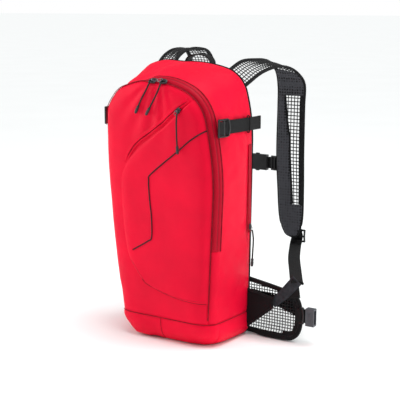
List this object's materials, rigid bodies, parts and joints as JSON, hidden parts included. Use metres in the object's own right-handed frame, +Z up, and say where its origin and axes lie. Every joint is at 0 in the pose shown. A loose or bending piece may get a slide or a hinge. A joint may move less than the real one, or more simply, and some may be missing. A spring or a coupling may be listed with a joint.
{
  "type": "zipped daypack",
  "caption": "Slim zipped daypack with an opening front, diagonal front pocket, side compression straps and a see-through mesh harness with chest and hip straps.",
  "frame": {"origin": "on the ground under the middle of the bag, on the flat of its base", "axes": "+Z up, -Y towards the front face, +Y towards the wearer, +X to the wearer's right"},
  "size_m": [0.3501, 0.2889, 0.4388],
  "materials": {
    "red_nylon": "coated plain weave, slight sheen",
    "red_base_nylon": "coarser coated weave",
    "red_zip_band": "matte coated zip band",
    "dark_piping": "satin",
    "black_mesh": "open net with bound edges",
    "spacer_foam": "spacer mesh over foam",
    "frame_plastic": "moulded sheet",
    "lining": "light lining nylon",
    "black_webbing": "ribbed polyester webbing",
    "black_fabric": "coated nylon",
    "black_plastic": "moulded acetal, satin",
    "slider_metal": "black enamel",
    "pull_cord": "braided cord",
    "pull_rubber": "moulded rubber"
  },
  "bodies": {
    "pack": {"back_panel": "black_mesh", "frame_sheet": "frame_plastic", "back_pad_left": "spacer_foam", "back_pad_right": "spacer_foam", "lumbar_pad": "spacer_foam", "side_panel_left": "red_nylon", "side_panel_right": "red_nylon", "top_panel": "red_nylon", "bottom_panel": "red_base_nylon", "front_lower_panel": "red_nylon", "pocket_lower": "red_nylon", "hydration_sleeve": "lining", "main_zip_tape_outer": "red_zip_band", "side_zip_tape": "red_zip_band", "compression_webbing_left": "black_webbing", "compression_webbing_right": "black_webbing", "corner_tab_left": "black_fabric", "corner_tab_right": "black_fabric", "shoulder_webbing_left": "black_webbing", "shoulder_webbing_right": "black_webbing"},
    "door": {"door_panel": "red_nylon", "main_zip_tape_inner": "red_zip_band", "pocket_upper": "red_nylon", "pocket_zip_tape": "red_zip_band", "piping": "dark_piping"},
    "pocket_slider": {"pocket_slider": "slider_metal"},
    "pocket_pull": {"pocket_cord": "pull_cord", "pocket_cord_end": "pull_rubber"},
    "side_slider": {"side_slider": "slider_metal"},
    "side_pull": {"side_cord": "pull_cord", "side_cord_end": "pull_rubber"},
    "haul_loop": {"haul_loop": "black_webbing"},
    "sternum_right": {"sternum_slider_right": "black_plastic", "sternum_webbing_right": "black_webbing", "sternum_buckle_female": "black_plastic"},
    "sternum_left": {"sternum_slider_left": "black_plastic"},
    "sternum_plug": {"sternum_webbing_left": "black_webbing", "sternum_buckle_male": "black_plastic"},
    "hip_socket": {"hip_buckle_female": "black_plastic"},
    "hip_plug": {"hip_buckle_male": "black_plastic"},
    "main_slider_left": {"main_slider_left": "slider_metal"},
    "main_pull_left": {"main_cord_left": "pull_cord", "main_cord_end_left": "pull_rubber"},
    "compression_lock_left": {"compression_lock_left": "black_plastic"},
    "shoulder_left": {"shoulder_strap_left": "black_mesh"},
    "shoulder_lock_left": {"shoulder_lock_left": "black_plastic"},
    "hip_left": {"hip_wing_left": "black_mesh", "hip_webbing_left": "black_webbing"},
    "main_slider_right": {"main_slider_right": "slider_metal"},
    "main_pull_right": {"main_cord_right": "pull_cord", "main_cord_end_right": "pull_rubber"},
    "compression_lock_right": {"compression_lock_right": "black_plastic"},
    "shoulder_right": {"shoulder_strap_right": "black_mesh"},
    "shoulder_lock_right": {"shoulder_lock_right": "black_plastic"},
    "hip_right": {"hip_wing_right": "black_mesh", "hip_webbing_right": "black_webbing"}
  },
  "joints": [
    {"name": "door_hinge", "type": "hinge", "parent": "pack", "child": "door", "pos_m": [0, -0.0645, 0.15], "axis": [1, 0, 0], "range_deg": [0, 115]},
    {"name": "main_slider_left_slide", "type": "slide", "parent": "door", "child": "main_slider_left", "axis": [-0.995, 0, -0.0995], "range_m": [0, 0.025]},
    {"name": "main_pull_left_swing", "type": "hinge", "parent": "main_slider_left", "child": "main_pull_left", "pos_m": [-0.01, -0.0576, 0.3945], "axis": [1, 0, 0], "range_deg": [-120, 0]},
    {"name": "compression_lock_left_tilt", "type": "hinge", "parent": "pack", "child": "compression_lock_left", "pos_m": [-0.103, -0.0465, 0.339], "axis": [0, 0, 1], "range_deg": [0, 40]},
    {"name": "shoulder_lock_left_tilt", "type": "hinge", "parent": "shoulder_left", "child": "shoulder_lock_left", "pos_m": [-0.099, 0.216, 0.134], "axis": [1, 0, 0], "range_deg": [0, 40]},
    {"name": "hip_left_fold", "type": "hinge", "parent": "pack", "child": "hip_left", "pos_m": [-0.096, 0.054, 0.045], "axis": [0, 0, 1], "range_deg": [-60, 2]},
    {"name": "main_slider_right_slide", "type": "slide", "parent": "door", "child": "main_slider_right", "axis": [0.995, 0, -0.0995], "range_m": [0, 0.025]},
    {"name": "main_pull_right_swing", "type": "hinge", "parent": "main_slider_right", "child": "main_pull_right", "pos_m": [0.01, -0.0576, 0.3945], "axis": [1, 0, 0], "range_deg": [-120, 0]},
    {"name": "compression_lock_right_tilt", "type": "hinge", "parent": "pack", "child": "compression_lock_right", "pos_m": [0.1005, -0.0425, 0.331], "axis": [0, 0, 1], "range_deg": [-40, 0]},
    {"name": "shoulder_lock_right_tilt", "type": "hinge", "parent": "shoulder_right", "child": "shoulder_lock_right", "pos_m": [0.099, 0.216, 0.134], "axis": [1, 0, 0], "range_deg": [0, 40]},
    {"name": "hip_right_fold", "type": "hinge", "parent": "pack", "child": "hip_right", "pos_m": [0.096, 0.054, 0.045], "axis": [0, 0, 1], "range_deg": [0, 85]},
    {"name": "pocket_slider_slide", "type": "slide", "parent": "door", "child": "pocket_slider", "axis": [-0.8, 0, -0.6], "range_m": [0, 0.075]},
    {"name": "pocket_pull_swing", "type": "hinge", "parent": "pocket_slider", "child": "pocket_pull", "pos_m": [0.0428, -0.0654, 0.3515], "axis": [1, 0, 0], "range_deg": [-120, 0]},
    {"name": "side_slider_slide", "type": "slide", "parent": "pack", "child": "side_slider", "axis": [0, 0, 1], "range_m": [0, 0.12]},
    {"name": "side_pull_swing", "type": "hinge", "parent": "side_slider", "child": "side_pull", "pos_m": [0.1103, 0.038, 0.169], "axis": [0, 1, 0], "range_deg": [-120, 0]},
    {"name": "haul_loop_fold", "type": "hinge", "parent": "pack", "child": "haul_loop", "pos_m": [0.003, 0.0585, 0.411], "axis": [1, 0, 0], "range_deg": [-70, 0]},
    {"name": "shoulder_right_swing", "type": "hinge", "parent": "pack", "child": "shoulder_right", "pos_m": [0, 0.054, 0.388], "axis": [1, 0, 0], "range_deg": [0, 15]},
    {"name": "shoulder_left_swing", "type": "hinge", "parent": "pack", "child": "shoulder_left", "pos_m": [0, 0.054, 0.388], "axis": [1, 0, 0], "range_deg": [0, 15]},
    {"name": "sternum_right_height", "type": "slide", "parent": "shoulder_right", "child": "sternum_right", "axis": [0, 0, 1], "range_m": [-0.05, 0.05]},
    {"name": "sternum_left_height", "type": "slide", "parent": "shoulder_left", "child": "sternum_left", "axis": [0, 0, 1], "range_m": [-0.05, 0.05]},
    {"name": "sternum_buckle_release", "type": "slide", "parent": "sternum_left", "child": "sternum_plug", "axis": [-1, 0, 0], "range_m": [0, 0.02]},
    {"name": "hip_socket_swing", "type": "hinge", "parent": "hip_right", "child": "hip_socket", "pos_m": [0.194, 0.054, 0.0425], "axis": [0, 0, 1], "range_deg": [-45, 45]},
    {"name": "hip_plug_swing", "type": "hinge", "parent": "hip_left", "child": "hip_plug", "pos_m": [-0.1295, 0.1461, 0.0425], "axis": [0, 0, 1], "range_deg": [-45, 45]}
  ],
  "couplings": [
    {"joint": "shoulder_left_swing", "follows": "shoulder_right_swing", "ratio": 1},
    {"joint": "sternum_left_height", "follows": "sternum_right_height", "ratio": 1}
  ]
}
